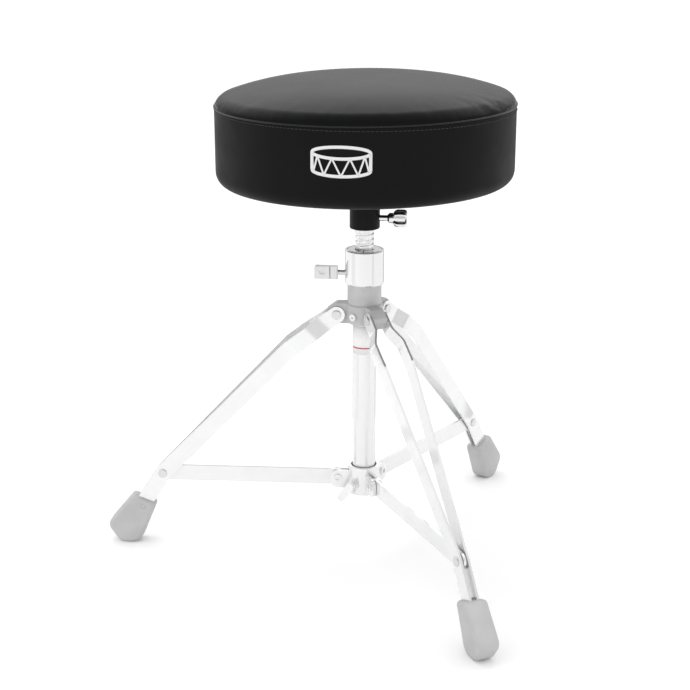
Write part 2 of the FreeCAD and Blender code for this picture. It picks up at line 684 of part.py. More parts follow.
def seat():
    outer = seat_body(0.0)
    inner = seat_body(VINYL)
    skin = outer.cut(inner)
    below = post(2 * SEAT_R, SEAT_BOTTOM, SEAM_Z)
    board_bottom = SEAT_BOTTOM + VINYL
    board_top = board_bottom + BOARD_THICK
    board = post(BOARD_R, board_bottom, board_top)
    foam = inner.cut(board)
    tee_nuts = []
    bolts = []
    for x, y in seat_bolt_places():
        barrel = post(TEE_NUT_R, board_bottom + 2, board_top, x, y)
        flange = post(TEE_NUT_FLANGE_R, board_top, board_top + TEE_NUT_FLANGE, x, y)
        shank = post(SEAT_BOLT_R, FLANGE_BOTTOM, board_top + TEE_NUT_FLANGE, x, y)
        head = hexagon(BOLT_HEAD_FLATS, BOLT_HEAD, x, y, FLANGE_BOTTOM - BOLT_HEAD)
        board = board.cut(barrel).cut(shank)
        foam = foam.cut(flange)
        tee_nuts.append(joined([barrel, flange]).cut(shank))
        bolts.append(joined([shank, head]))
    save("seat_cover_top", [skin.cut(below)])
    save("seat_side_band", [skin.common(below).cut(post(WRAP_INNER_R, SEAT_BOTTOM, board_top))])
    save("seat_foam", [foam])
    save("seat_board", [board])
    save("seat_tee_nuts", tee_nuts)
    save("seat_bolts", bolts)
    dust_cover = sleeve(DUST_COVER_HOLE_R, DUST_COVER_R, FLANGE_TOP, SEAT_BOTTOM)
    liner = sleeve(DUST_COVER_HOLE_R, WRAP_INNER_R, SEAT_BOTTOM, board_bottom)
    dust_cover = joined([dust_cover, liner])
    for x, y in seat_bolt_places():
        dust_cover = dust_cover.cut(post(SEAT_BOLT_R, FLANGE_TOP, board_bottom, x, y))
    save("seat_dust_cover", [dust_cover])


def receiver_casting():
    """The socket for the post, with a ribbed square flange bolted under the seat."""
    half = FLANGE_SIDE / 2
    barrel = revolved(((0, RECEIVER_BOTTOM), (RECEIVER_R, RECEIVER_BOTTOM), (RECEIVER_R, FLANGE_TOP),
                       (0, FLANGE_TOP)), (0, 1.5, 0, 0))
    flange = Part.makeBox(FLANGE_SIDE, FLANGE_SIDE, FLANGE_TOP - FLANGE_BOTTOM,
                          Vector(-half, -half, FLANGE_BOTTOM))
    uprights = [e for e in flange.Edges if e.BoundBox.XLength + e.BoundBox.YLength < TINY]
    flange = flange.makeFillet(FLANGE_CORNER_R, uprights)
    corners = ((5, FLANGE_BOTTOM + 1), (RIB_REACH, FLANGE_BOTTOM + 1), (5, FLANGE_BOTTOM - RIB_DEPTH))
    rib = plate(corners, (0, 0, 0), -RIB_HALF, RIB_HALF)
    shapes = [barrel, flange] + [turned(rib, a) for a in (0, 90, 180, 270)]
    casting = joined(shapes).cut(post(ROD_R + FIT, RECEIVER_BOTTOM, RECEIVER_BORE_TOP))
    casting = casting.cut(spoke(WING_SCREW_R + FIT, 0, THROUGH, WING_BOLT_Z))
    for x, y in seat_bolt_places():
        casting = casting.cut(post(SEAT_BOLT_R, FLANGE_BOTTOM, FLANGE_TOP, x, y))
    return casting


os.makedirs("parts", exist_ok=True)
legs()
struts()
column()
spreader()
seat()
save("threaded_rod", [threaded_rod()])
save("rod_guide_plug", [rod_guide()])
save("collar_lock_screw", [collar_lock()])
save("collar_lock_grip", [collar_lock_grip()])
save("receiver_casting", [receiver_casting()])
save("receiver_wing_screw", [wing_screw()])
save("receiver_wing_knob", [wing_knob()])
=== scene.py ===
# Looks for the drum throne: studio, materials, the sewn seat and its small details.
# Everything is in metres, in the CAD model's own frame: +Z up, the column on the Z axis, the floor at 0.

import json
import math
import random

import bmesh
import bpy
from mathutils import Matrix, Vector


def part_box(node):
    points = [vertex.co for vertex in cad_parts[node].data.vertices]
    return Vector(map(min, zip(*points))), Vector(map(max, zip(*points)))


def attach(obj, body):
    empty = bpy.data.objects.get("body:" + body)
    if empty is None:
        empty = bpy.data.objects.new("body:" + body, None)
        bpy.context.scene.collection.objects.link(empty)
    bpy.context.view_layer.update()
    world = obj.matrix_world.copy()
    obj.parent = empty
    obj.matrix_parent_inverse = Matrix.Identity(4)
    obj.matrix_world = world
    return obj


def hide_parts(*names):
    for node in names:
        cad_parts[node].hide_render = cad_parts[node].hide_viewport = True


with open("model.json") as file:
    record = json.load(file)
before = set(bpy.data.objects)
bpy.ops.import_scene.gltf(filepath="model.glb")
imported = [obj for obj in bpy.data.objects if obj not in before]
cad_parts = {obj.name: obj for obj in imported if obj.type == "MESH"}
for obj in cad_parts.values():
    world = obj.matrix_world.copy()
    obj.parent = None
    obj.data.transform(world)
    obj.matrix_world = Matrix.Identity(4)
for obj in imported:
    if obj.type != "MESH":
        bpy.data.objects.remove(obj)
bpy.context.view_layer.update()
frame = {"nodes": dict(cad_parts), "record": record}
NODES = frame["nodes"]
MM = 0.001
LEGS = ("left", "front", "rear")

# ------------------------------------------------------------------ camera

CAMERA_AT = Vector((0.1440, -1.6483, 0.7807))
CAMERA_AIM = Vector((-0.09585, 0.94886, -0.30079))
CAMERA_LENS = 77.9
SENSOR_WIDTH = 36.0
CLIP_NEAR, CLIP_FAR = 0.05, 60.0


def make_camera():
    data = bpy.data.cameras.new("camera")
    data.lens = CAMERA_LENS
    data.sensor_width = SENSOR_WIDTH
    data.clip_start, data.clip_end = CLIP_NEAR, CLIP_FAR
    camera = bpy.data.objects.new("camera", data)
    bpy.context.scene.collection.objects.link(camera)
    camera.location = CAMERA_AT
    camera.rotation_mode = "QUATERNION"
    camera.rotation_quaternion = CAMERA_AIM.to_track_quat("-Z", "Y")
    bpy.context.scene.camera = camera


make_camera()

# ------------------------------------------------------------------ node helpers


class Shader:
    """A small wrapper that builds one material's nodes."""

    def __init__(self, name):
        self.material = bpy.data.materials.new(name)
        self.material.use_nodes = True
        self.tree = self.material.node_tree
        self.tree.nodes.clear()
        self.output = self.node("ShaderNodeOutputMaterial")
        self.surface = self.node("ShaderNodeBsdfPrincipled")
        self.link(self.surface.outputs["BSDF"], self.output.inputs["Surface"])
        coords = self.node("ShaderNodeTexCoord")
        self.place = coords.outputs["Object"]

    def node(self, kind, **values):
        made = self.tree.nodes.new(kind)
        for key, value in values.items():
            setattr(made, key, value)
        return made

    def link(self, source, target):
        self.tree.links.new(source, target)

    def set(self, **values):
        for key, value in values.items():
            self.surface.inputs[key.replace("_", " ")].default_value = value
        return self

    def noise(self, scale, detail=3.0, rough=0.55, stretch=None):
        tex = self.node("ShaderNodeTexNoise")
        tex.inputs["Scale"].default_value = scale
        tex.inputs["Detail"].default_value = detail
        tex.inputs["Roughness"].default_value = rough
        self.link(self.stretched(stretch), tex.inputs["Vector"])
        return tex.outputs["Fac"]

    def stretched(self, stretch):
        if stretch is None:
            return self.place
        mapping = self.node("ShaderNodeMapping")
        mapping.inputs["Scale"].default_value = stretch
        self.link(self.place, mapping.inputs["Vector"])
        return mapping.outputs["Vector"]

    def cells(self, scale, feature="DISTANCE_TO_EDGE", stretch=None):
        tex = self.node("ShaderNodeTexVoronoi", feature=feature)
        tex.inputs["Scale"].default_value = scale
        self.link(self.stretched(stretch), tex.inputs["Vector"])
        return tex.outputs["Distance"]

    def ramp(self, value, low, high, out_low=0.0, out_high=1.0):
        remap = self.node("ShaderNodeMapRange")
        for key, number in (("From Min", low), ("From Max", high), ("To Min", out_low), ("To Max", out_high)):
            remap.inputs[key].default_value = number
        self.link(value, remap.inputs["Value"])
        return remap.outputs["Result"]

    def mix(self, factor, a, b):
        blend = self.node("ShaderNodeMix", data_type="RGBA")
        self.link(factor, blend.inputs["Factor"])
        for socket, colour in (("A", a), ("B", b)):
            target = [i for i in blend.inputs if i.name == socket and i.type == "RGBA"][0]
            if isinstance(colour, tuple):
                target.default_value = (*colour, 1.0)
            else:
                self.link(colour, target)
        return [o for o in blend.outputs if o.type == "RGBA"][0]

    def maths(self, operation, a, b):
        made = self.node("ShaderNodeMath", operation=operation)
        for i, value in enumerate((a, b)):
            if isinstance(value, (int, float)):
                made.inputs[i].default_value = value
            else:
                self.link(value, made.inputs[i])
        return made.outputs["Value"]

    def colour(self, value):
        self.link(value, self.surface.inputs["Base Color"])

    def roughness(self, value):
        self.link(value, self.surface.inputs["Roughness"])

    def bump(self, *layers):
        """Stack (height, strength, distance in metres) bumps, coarse first."""
        last = None
        for height, strength, distance in layers:
            made = self.node("ShaderNodeBump")
            made.inputs["Strength"].default_value = strength
            made.inputs["Distance"].default_value = distance
            self.link(height, made.inputs["Height"])
            if last is not None:
                self.link(last, made.inputs["Normal"])
            last = made.outputs["Normal"]
        self.link(last, self.surface.inputs["Normal"])


# ------------------------------------------------------------------ materials

def chrome(name, tint=(0.81, 0.81, 0.815), rough=(0.05, 0.13), metal=0.72, stretch=None):
    """Bright plate over ground steel: faint waviness, fine polishing marks and a thin haze."""
    s = Shader(name)
    s.set(Metallic=metal)
    haze = s.noise(38.0, 4.0, stretch=stretch)
    darker = tuple(c * 0.95 for c in tint)
    s.colour(s.mix(s.ramp(haze, 0.35, 0.75), tint, darker))
    marks = s.noise(900.0, 2.0, 0.6, stretch)
    mixed = s.maths("MULTIPLY", s.ramp(haze, 0.3, 0.8, 0.6, 1.0), s.ramp(marks, 0.3, 0.7, *rough))
    s.roughness(mixed)
    s.bump((s.noise(70.0, 1.0), 0.05, 0.0006), (marks, 0.02, 0.00005))
    return s.material


def rolled_steel():
    """Plated, rolled thread: bright, with a little dull grime."""
    s = Shader("rolled steel")
    s.set(Metallic=0.72)
    grime = s.noise(220.0, 3.0)
    s.colour(s.mix(s.ramp(grime, 0.35, 0.7), (0.86, 0.86, 0.86), (0.72, 0.72, 0.71)))
    s.roughness(s.ramp(grime, 0.3, 0.7, 0.08, 0.18))
    s.bump((s.noise(1400.0, 2.0, stretch=(1.0, 1.0, 8.0)), 0.12, 0.00008))
    return s.material


def zinc():
    s = Shader("zinc plate")
    s.set(Metallic=1.0)
    patches = s.cells(600.0, "F1")
    s.colour(s.mix(s.ramp(patches, 0.0, 0.9), (0.66, 0.67, 0.66), (0.52, 0.54, 0.55)))
    s.roughness(s.ramp(s.noise(300.0), 0.3, 0.7, 0.28, 0.45))
    return s.material


def coated_casting(name, base, spec=0.4):
    """Powder coat on a die casting: fine orange peel and a slightly uneven gloss."""
    s = Shader(name)
    s.set(Specular_IOR_Level=spec)
    tone = s.noise(45.0, 4.0)
    s.colour(s.mix(s.ramp(tone, 0.3, 0.7), base, tuple(c * 0.86 for c in base)))
    s.roughness(s.ramp(s.noise(160.0, 3.0), 0.3, 0.7, 0.36, 0.52))
    s.bump((s.noise(520.0, 3.0), 0.22, 0.00025), (s.noise(2100.0, 2.0), 0.1, 0.00006))
    return s.material


def moulded_rubber(name, base):
    """Moulded rubber: matt, slightly dusty, with a fine spark-eroded texture."""
    s = Shader(name)
    s.set(Specular_IOR_Level=0.3)
    dust = s.noise(30.0, 5.0)
    s.colour(s.mix(s.ramp(dust, 0.38, 0.72), base, tuple(min(1.0, c * 1.12 + 0.004) for c in base)))
    s.roughness(s.ramp(s.noise(110.0, 3.0), 0.3, 0.7, 0.55, 0.75))
    s.bump((s.noise(900.0, 3.0), 0.25, 0.0002), (s.cells(2600.0, "F1"), 0.12, 0.00008))
    return s.material


def nylon():
    s = Shader("nylon")
    s.set(Specular_IOR_Level=0.4)
    s.colour(s.mix(s.noise(80.0), (0.02, 0.02, 0.021), (0.035, 0.035, 0.036)))
    s.roughness(s.ramp(s.noise(240.0), 0.3, 0.7, 0.4, 0.55))
    s.bump((s.noise(1100.0), 0.1, 0.0001))
    return s.material


def vinyl(name, base, rough, grain_scale, grain, spec):
    """Calendered vinyl: pebbled grain of irregular cells, soft tonal drift."""
    s = Shader(name)
    s.set(Specular_IOR_Level=spec)
    drift = s.noise(9.0, 3.0)
    s.colour(s.mix(s.ramp(drift, 0.3, 0.7), base, tuple(c * 1.12 for c in base)))
    pebble = s.cells(grain_scale)
    wide = s.cells(grain_scale * 0.43)
    s.roughness(s.ramp(s.noise(24.0, 3.0), 0.25, 0.75, *rough))
    s.bump((s.noise(18.0, 1.0), 0.03, 0.0012), (s.ramp(wide, 0.0, 0.25), grain * 0.6, 0.00012),
           (s.ramp(pebble, 0.0, 0.22), grain, 0.00009), (s.noise(5200.0, 2.0), 0.08, 0.00003))
    return s.material


def thread_material():
    s = Shader("black thread")
    s.set(Specular_IOR_Level=0.3)
    s.set(Sheen_Weight=0.2)
    s.colour(s.mix(s.noise(2500.0), (0.012, 0.012, 0.013), (0.03, 0.03, 0.032)))
    s.roughness(s.ramp(s.noise(1800.0), 0.3, 0.7, 0.6, 0.8))
    s.bump((s.noise(3000.0, 1.0, stretch=(1.0, 1.0, 3.0)), 0.4, 0.0001))
    return s.material


def felted_cloth():
    """Thin non-woven cloth: matted fibres."""
    s = Shader("non-woven cloth")
    s.set(Specular_IOR_Level=0.2)
    s.set(Sheen_Weight=0.25)
    fibres = s.noise(1500.0, 4.0, 0.7, (1.0, 0.25, 1.0))
    cross = s.noise(1500.0, 4.0, 0.7, (0.25, 1.0, 1.0))
    mat = s.maths("MAXIMUM", fibres, cross)
    s.colour(s.mix(s.ramp(mat, 0.4, 0.8), (0.012, 0.012, 0.013), (0.04, 0.04, 0.042)))
    s.roughness(s.ramp(mat, 0.3, 0.8, 0.95, 0.8))
    s.bump((mat, 0.5, 0.0003))
    return s.material


def plywood():
    s = Shader("birch plywood")
    rings = s.node("ShaderNodeTexWave", wave_type="BANDS", bands_direction="Z")
    rings.inputs["Scale"].default_value = 220.0
    rings.inputs["Distortion"].default_value = 2.0
    s.link(s.place, rings.inputs["Vector"])
    grain = s.noise(300.0, 4.0, 0.6, (1.0, 0.08, 1.0))
    layers = s.mix(rings.outputs["Fac"], (0.52, 0.36, 0.20), (0.66, 0.50, 0.31))
    s.colour(s.mix(s.ramp(grain, 0.45, 0.7, 0.0, 0.4), layers, (0.36, 0.22, 0.11)))
    s.roughness(s.ramp(grain, 0.3, 0.7, 0.55, 0.7))
    s.bump((grain, 0.2, 0.0002))
    return s.material


def open_foam():
    s = Shader("polyurethane foam")
    pores = s.cells(700.0)
    s.colour(s.mix(s.ramp(pores, 0.0, 0.2), (0.52, 0.44, 0.24), (0.80, 0.74, 0.55)))
    s.roughness(s.ramp(pores, 0.0, 0.3, 1.0, 0.85))
    s.bump((s.ramp(pores, 0.0, 0.3), 0.6, 0.0005))
    return s.material


def printed(name, base):
    """Screen-printed ink: even, slightly chalky."""
    s = Shader(name)
    s.set(Specular_IOR_Level=0.3)
    s.colour(s.mix(s.ramp(s.noise(700.0, 3.0), 0.3, 0.75), base, tuple(c * 0.93 for c in base)))
    s.roughness(s.ramp(s.noise(300.0), 0.3, 0.7, 0.45, 0.6))
    s.bump((s.noise(2600.0, 2.0), 0.08, 0.00003))
    return s.material


CASTING_GREY = (0.50, 0.50, 0.505)
RUBBER_GREY = (0.425, 0.425, 0.43)
MATERIALS = {
    "chrome_tube": chrome("chrome tube", stretch=(1.0, 1.0, 0.05)),
    "chrome_straps": chrome("chrome straps", tint=(0.83, 0.83, 0.835), rough=(0.06, 0.15), metal=0.64),
    "chrome_fittings": chrome("chrome fittings", tint=(0.68, 0.68, 0.685), rough=(0.10, 0.20)),
    "machined_steel": rolled_steel(),
    "zinc_fasteners": zinc(),
    "grey_casting": coated_casting("grey casting", CASTING_GREY),
    "black_casting": coated_casting("black casting", (0.005, 0.005, 0.005), 0.12),
    "grey_rubber": moulded_rubber("grey rubber", RUBBER_GREY),
    "black_nylon": nylon(),
    "plywood": plywood(),
    "foam": open_foam(),
    # The top vinyl's colour has a faint blue cast that the side vinyl lacks: a painted tint of the cool sheen
    # on the seat's top.
    "black_vinyl": vinyl("black vinyl top", (0.0030, 0.0032, 0.0036), (0.25, 0.29), 620.0, 0.14, 0.09),
    "black_cloth": felted_cloth(),
}
KNOB_CHROME = chrome("knob chrome", tint=(0.78, 0.78, 0.785), rough=(0.04, 0.10), metal=1.0)
SCREW_CHROME = chrome("screw chrome", tint=(0.86, 0.86, 0.865), rough=(0.06, 0.12))
SIDE_VINYL = vinyl("black vinyl side", (0.0035, 0.0035, 0.0036), (0.45, 0.58), 760.0, 0.34, 0.10)
# The welt's colour is more than twice as light as the top vinyl's: painted highlight along the seam; its
# higher specular level is its real shine.
WELT_VINYL = vinyl("black vinyl welt", (0.007, 0.007, 0.0074), (0.30, 0.40), 900.0, 0.10, 0.28)
THREAD = thread_material()
WHITE_INK = printed("white ink", (0.72, 0.72, 0.72))
LABEL_WHITE = printed("label white", (0.84, 0.84, 0.84))
LABEL_RED = printed("label red", (0.55, 0.05, 0.05))
BRACKET_CHROME = chrome("bracket chrome", tint=(0.85, 0.85, 0.855), rough=(0.12, 0.24), metal=0.60)
PALE_CHROME = ("spreader_bracket", "strut_pivot_bolts", "spreader_lock_lever")
# Nodes whose finish differs a little from their slot's
SPECIAL = {
    "receiver_wing_knob": KNOB_CHROME,
    "receiver_wing_screw": KNOB_CHROME,
    "hub_set_screws": SCREW_CHROME,
}
SPECIAL.update((name, BRACKET_CHROME) for name in PALE_CHROME)
slot_of = {part["node"]: part["material_slot"] for part in frame["record"]["subparts"]}
for node_name, node in NODES.items():
    node.data.materials.clear()
    node.data.materials.append(SPECIAL.get(node_name) or MATERIALS[slot_of[node_name]])

# ------------------------------------------------------------------ mesh helpers


def new_object(name, vertices, faces, material, smooth=True):
    mesh = bpy.data.meshes.new(name)
    mesh.from_pydata(vertices, [], faces)
    mesh.materials.append(material)
    if smooth:
        mesh.shade_smooth()
    made = bpy.data.objects.new(name, mesh)
    bpy.context.scene.collection.objects.link(made)
    return made


def polar(radius, angle, z):
    return Vector((radius * math.cos(angle), radius * math.sin(angle), z))


# A tangent this close to vertical needs another direction to build the tube's sides from
NEARLY_UPRIGHT = 0.01


def tube_along(points, radius, sides=8, closed=True):
    """Vertices and faces of a round tube along a list of points."""
    count = len(points)
    vertices, faces = [], []
    for i, point in enumerate(points):
        if closed:
            tangent = points[(i + 1) % count] - points[i - 1]
        else:
            tangent = points[min(i + 1, count - 1)] - points[max(i - 1, 0)]
        tangent.normalize()
        side = tangent.cross(Vector((0, 0, 1)))
        if side.length < NEARLY_UPRIGHT:
            side = tangent.cross(Vector((1, 0, 0)))
        side.normalize()
        lift = side.cross(tangent)
        for k in range(sides):
            turn = math.tau * k / sides
            vertices.append(point + (side * math.cos(turn) + lift * math.sin(turn)) * radius)
    for i in range(count if closed else count - 1):
        j = (i + 1) % count
        for k in range(sides):
            m = (k + 1) % sides
            faces.append((i * sides + k, j * sides + k, j * sides + m, i * sides + m))
    if not closed:
        faces.append(tuple(range(sides)))
        faces.append(tuple((count - 1) * sides + k for k in reversed(range(sides))))
    return vertices, faces


# ------------------------------------------------------------------ seat

side_low, side_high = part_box("seat_side_band")
SEAT_R = side_high.x
SEAM_LIFT = 1.8 * MM
SEAM_Z = side_high.z + SEAM_LIFT
SEAT_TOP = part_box("seat_cover_top")[1].z
SEAT_BOTTOM = side_low.z
BOARD_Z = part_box("seat_board")[0].z
SEGMENTS = 288
EDGE_STEPS, SIDE_STEPS, SHOULDER_STEPS, CROWN_STEPS = 9, 15, 10, 20
SHOULDER_R = 13.5 * MM
SHOULDER_SLOPE = math.radians(12.2)
EDGE_R = 15 * MM
EDGE_SAG = 1.1 * MM
WRAP_R = 132 * MM
SIDE_OUT = 0.9 * MM
CROWN_IN = 1.4 * MM
PULL_IN = 0.6 * MM
LEAN = 0.010
PUFF_SHARE = 0.35
WRINKLE_SHARE = 0.07
# (direction, half width, extra share) in degrees: where the cover's wrinkles show most
WRINKLED = ((-25.0, 13.0, 0.45), (205.0, 12.0, 0.22), (80.0, 25.0, 0.06))


def seat_profile():
    """(radius, height, is pinned) down the sewn cover: wrap, edge, side, seam, shoulder, crown."""
    rows = [(40 * MM, BOARD_Z, True), (90 * MM, BOARD_Z, True), (WRAP_R - 2 * MM, BOARD_Z, True),
            (WRAP_R, SEAT_BOTTOM, True), (WRAP_R + 8 * MM, SEAT_BOTTOM - EDGE_SAG / 2, True)]
    side = SEAT_R + SIDE_OUT
    centre = (side - EDGE_R, SEAT_BOTTOM - EDGE_SAG + EDGE_R)
    for i in range(EDGE_STEPS):
        turn = math.pi / 2 * i / (EDGE_STEPS - 1)
        rows.append((centre[0] + EDGE_R * math.sin(turn), centre[1] - EDGE_R * math.cos(turn), i < 2))
    for i in range(1, SIDE_STEPS):
        share = i / SIDE_STEPS
        rows.append((side, centre[1] + (SEAM_Z - centre[1]) * share, False))
    rows.append((side - PULL_IN * 0.3, SEAM_Z - 1.2 * MM, False))
    rows.append((side - PULL_IN, SEAM_Z, True))
    seam_row = len(rows) - 1
    rows.append((side - PULL_IN * 0.4, SEAM_Z + 1.4 * MM, False))
    for i in range(2, SHOULDER_STEPS + 1):
        turn = math.pi / 2 - (math.pi / 2 - SHOULDER_SLOPE) * i / SHOULDER_STEPS
        rows.append((side - SHOULDER_R + SHOULDER_R * math.sin(turn),
                     SEAM_Z + SHOULDER_R * math.cos(turn), False))
    end_r, end_z = rows[-1][0], rows[-1][1]
    rise = SEAT_TOP - CROWN_IN - end_z
    crown_r = (end_r ** 2 + rise ** 2) / (2 * rise)
    for i in range(1, CROWN_STEPS):
        r = end_r * (1 - i / CROWN_STEPS)
        z = SEAT_TOP - CROWN_IN - crown_r + math.sqrt(crown_r ** 2 - r ** 2)
        rows.append((r, z, False))
    return rows, seam_row


def lathe(rows, name, material):
    """A closed lathed mesh with a point at each end of the profile."""
    vertices, faces = [], []
    for r, z, _ in rows:
        for k in range(SEGMENTS):
            vertices.append(polar(r, math.tau * k / SEGMENTS, z))
    for i in range(len(rows) - 1):
        for k in range(SEGMENTS):
            m = (k + 1) % SEGMENTS
            a, b = i * SEGMENTS, (i + 1) * SEGMENTS
            faces.append((a + k, a + m, b + m, b + k))
    bottom = len(vertices)
    vertices.append(Vector((0, 0, rows[0][1])))
    top = len(vertices)
    vertices.append(Vector((0, 0, rows[-1][1] + 0.1 * MM)))
    last = (len(rows) - 1) * SEGMENTS
    for k in range(SEGMENTS):
        m = (k + 1) % SEGMENTS
        faces.append((bottom, m, k))
        faces.append((top, last + k, last + m))
    return new_object(name, vertices, faces, material)


def wrinkle_share(outward):
    """How much of the wrinkles to keep in this direction."""
    degrees = math.degrees(math.atan2(outward.y, outward.x))
    share = WRINKLE_SHARE
    for centre, width, extra in WRINKLED:
        off = (degrees - centre + 180.0) % 360.0 - 180.0
        share += extra * math.exp(-(off / width) ** 2)
    return share


COVER_PRESSURE = 4.0
COVER_FRAMES = 20
COVER_CLOTH = {
    "quality": 6,
    "mass": 0.35,
    "tension_stiffness": 28.0,
    "compression_stiffness": 28.0,
    "shear_stiffness": 12.0,
    "bending_stiffness": 2.5,
    "use_pressure": True,
    "uniform_pressure_force": COVER_PRESSURE,
    "vertex_group_mass": "pinned",
}


def inflate(piece, pinned):
    """Puff the cover with Blender's cloth, then keep a share of each ring's movement and of its wrinkles."""
    scene = bpy.context.scene
    rest = [v.co.copy() for v in piece.data.vertices]
    group = piece.vertex_groups.new(name="pinned")
    group.add(pinned, 1.0, "REPLACE")
    cloth = piece.modifiers.new("cloth", "CLOTH")
    for key, value in COVER_CLOTH.items():
        setattr(cloth.settings, key, value)
    cloth.settings.effector_weights.gravity = 0.0
    cloth.point_cache.frame_start = 1
    cloth.point_cache.frame_end = COVER_FRAMES
    for number in range(1, COVER_FRAMES + 1):
        scene.frame_set(number)
    graph = bpy.context.evaluated_depsgraph_get()
    puffed = [v.co.copy() for v in piece.evaluated_get(graph).data.vertices]
    piece.modifiers.remove(cloth)
    scene.frame_set(1)
    for first in range(0, len(rest) - SEGMENTS, SEGMENTS):
        ring = range(first, first + SEGMENTS)
        lift = sum(puffed[i].z - rest[i].z for i in ring) / SEGMENTS
        grow = sum(puffed[i].xy.length - rest[i].xy.length for i in ring) / SEGMENTS
        for i in ring:
            outward = Vector((*rest[i].xy.normalized(), 0.0))
            whole = outward * grow + Vector((0.0, 0.0, lift))
            wrinkle = puffed[i] - rest[i] - whole
            piece.data.vertices[i].co = rest[i] + whole * PUFF_SHARE + wrinkle * wrinkle_share(outward)
    piece.data.vertices[-1].co.z = rest[-1].z + lift * PUFF_SHARE


# How far the gathers reach above and below the seam, how far in, and how deep they are
PUCKER_ABOVE, PUCKER_BELOW = 9 * MM, 12 * MM
PUCKER_IN = 32 * MM
PUCKER_DEPTH = 0.34 * MM


def pucker(piece, rows, seam_row):
    """Small gathers of the vinyl where it is sewn, deepest near the seam and uneven round it."""
    rng = random.Random(7)
    waves = [(rng.randint(60, 150), rng.uniform(0, math.tau), rng.uniform(0.4, 1.0)) for _ in range(7)]
    slow = [(rng.randint(2, 7), rng.uniform(0, math.tau)) for _ in range(3)]
    for index, vertex in enumerate(piece.data.vertices):
        row = index // SEGMENTS
        if row >= len(rows) or row == seam_row:
            continue
        above = vertex.co.z - SEAM_Z
        reach = PUCKER_ABOVE if above > 0 else PUCKER_BELOW
        if abs(above) > 3 * reach or math.hypot(vertex.co.x, vertex.co.y) < SEAT_R - PUCKER_IN:
            continue
        angle = math.atan2(vertex.co.y, vertex.co.x)
        patch = sum(math.sin(n * angle + p) for n, p in slow) / 3
        patch = 0.35 + 0.65 * max(0.0, patch + 0.3)
        ripple = sum(w * math.sin(n * angle + p) for n, p, w in waves) / 3
        size = PUCKER_DEPTH * patch * math.exp(-(above / reach) ** 2)
        outward = Vector((vertex.co.x, vertex.co.y, 0)).normalized()
        vertex.co += outward * ripple * size


def make_cushion():
    rows, seam_row = seat_profile()
    piece = lathe(rows, "seat_cushion", MATERIALS["black_vinyl"])
    piece.data.materials.append(SIDE_VINYL)
    pinned = [i * SEGMENTS + k for i, row in enumerate(rows) if row[2] for k in range(SEGMENTS)]
    pinned.append(len(rows) * SEGMENTS)
    inflate(piece, pinned)
    pucker(piece, rows, seam_row)
    for vertex in piece.data.vertices:
        outer = min(1.0, max(0.0, (math.hypot(vertex.co.x, vertex.co.y) - WRAP_R) / EDGE_R))
        vertex.co.z += LEAN * vertex.co.x * (outer if vertex.co.z < SEAM_Z else 1.0)
    for polygon in piece.data.polygons:
        polygon.material_index = 1 if polygon.center.z < SEAM_Z - 0.5 * MM else 0
    seam = [piece.data.vertices[seam_row * SEGMENTS + k].co.copy() for k in range(SEGMENTS)]
    smooth = piece.modifiers.new("smooth", "SUBSURF")
    smooth.levels = smooth.render_levels = 1
    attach(piece, "seat")
    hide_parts("seat_cover_top", "seat_side_band", "seat_foam")
    return seam, side_columns(piece, seam_row)


def side_columns(piece, seam_row):
    """For each angle step, the heights and radii of the cover's side below the seam."""
    columns = []
    for k in range(SEGMENTS):
        column = []
        for row in range(seam_row + 1):
            p = piece.data.vertices[row * SEGMENTS + k].co
            radius = math.hypot(p.x, p.y)
            if radius > SEAT_R - EDGE_R * 0.6:
                column.append((p.z, radius))
        columns.append(sorted(column))
    return columns


def radius_at(column, z):
    for (z0, r0), (z1, r1) in zip(column, column[1:]):
        if z0 <= z <= z1:
            return r0 + (r1 - r0) * (z - z0) / (z1 - z0)
    return column[-1][1]


def on_side(columns, angle, z, proud=0.0):
    """The point of the seat's side at this angle and height, proud of the surface."""
    place = (angle % math.tau) / math.tau * SEGMENTS
    k = int(place)
    share = place - k
    near = radius_at(columns[k % SEGMENTS], z)
    far = radius_at(columns[(k + 1) % SEGMENTS], z)
    return polar(near + (far - near) * share + proud, angle, z)


WELT_R, WELT_PROUD = 0.95 * MM, 0.55 * MM


def make_piping(seam):
    """The thin welt sewn into the seam."""
    points = []
    for p in seam:
        outward = Vector((p.x, p.y, 0)).normalized()
        points.append(p + outward * WELT_PROUD)
    vertices, faces = tube_along(points, WELT_R)
    welt = new_object("seat_welt", vertices, faces, WELT_VINYL)
    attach(welt, "seat")


STITCH_PITCH = 4.6 * MM
STITCH_DROP = 4.2 * MM
STITCH_R = 0.33 * MM
STITCH_SHARE = 0.34
# Along half a stitch, how far the thread stands out in millimetres
STITCH_ARCH = ((-1.0, -0.25), (-0.5, 0.22), (0.0, 0.34), (0.5, 0.22), (1.0, -0.25))


def make_stitches(side):
    """One row of short stitches just below the welt."""
    count = round(math.tau * SEAT_R / STITCH_PITCH)
    height = SEAM_Z - STITCH_DROP
    vertices, faces = [], []
    for i in range(count):
        middle = math.tau * i / count
        half = math.tau / count * STITCH_SHARE
        points = []
        for share, lift in STITCH_ARCH:
            points.append(on_side(side, middle + half * share, height, lift * MM))
        part, quads = tube_along(points, STITCH_R, 6, closed=False)
        base = len(vertices)
        vertices.extend(part)
        faces.extend(tuple(base + n for n in quad) for quad in quads)
    stitches = new_object("seat_stitches", vertices, faces, THREAD)
    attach(stitches, "seat")


# ------------------------------------------------------------------ the printed drum sign on the side

SIGN_ANGLE = math.radians(-93.4)
SIGN_Z = 0.5046
SIGN_STROKE = 3.3 * MM


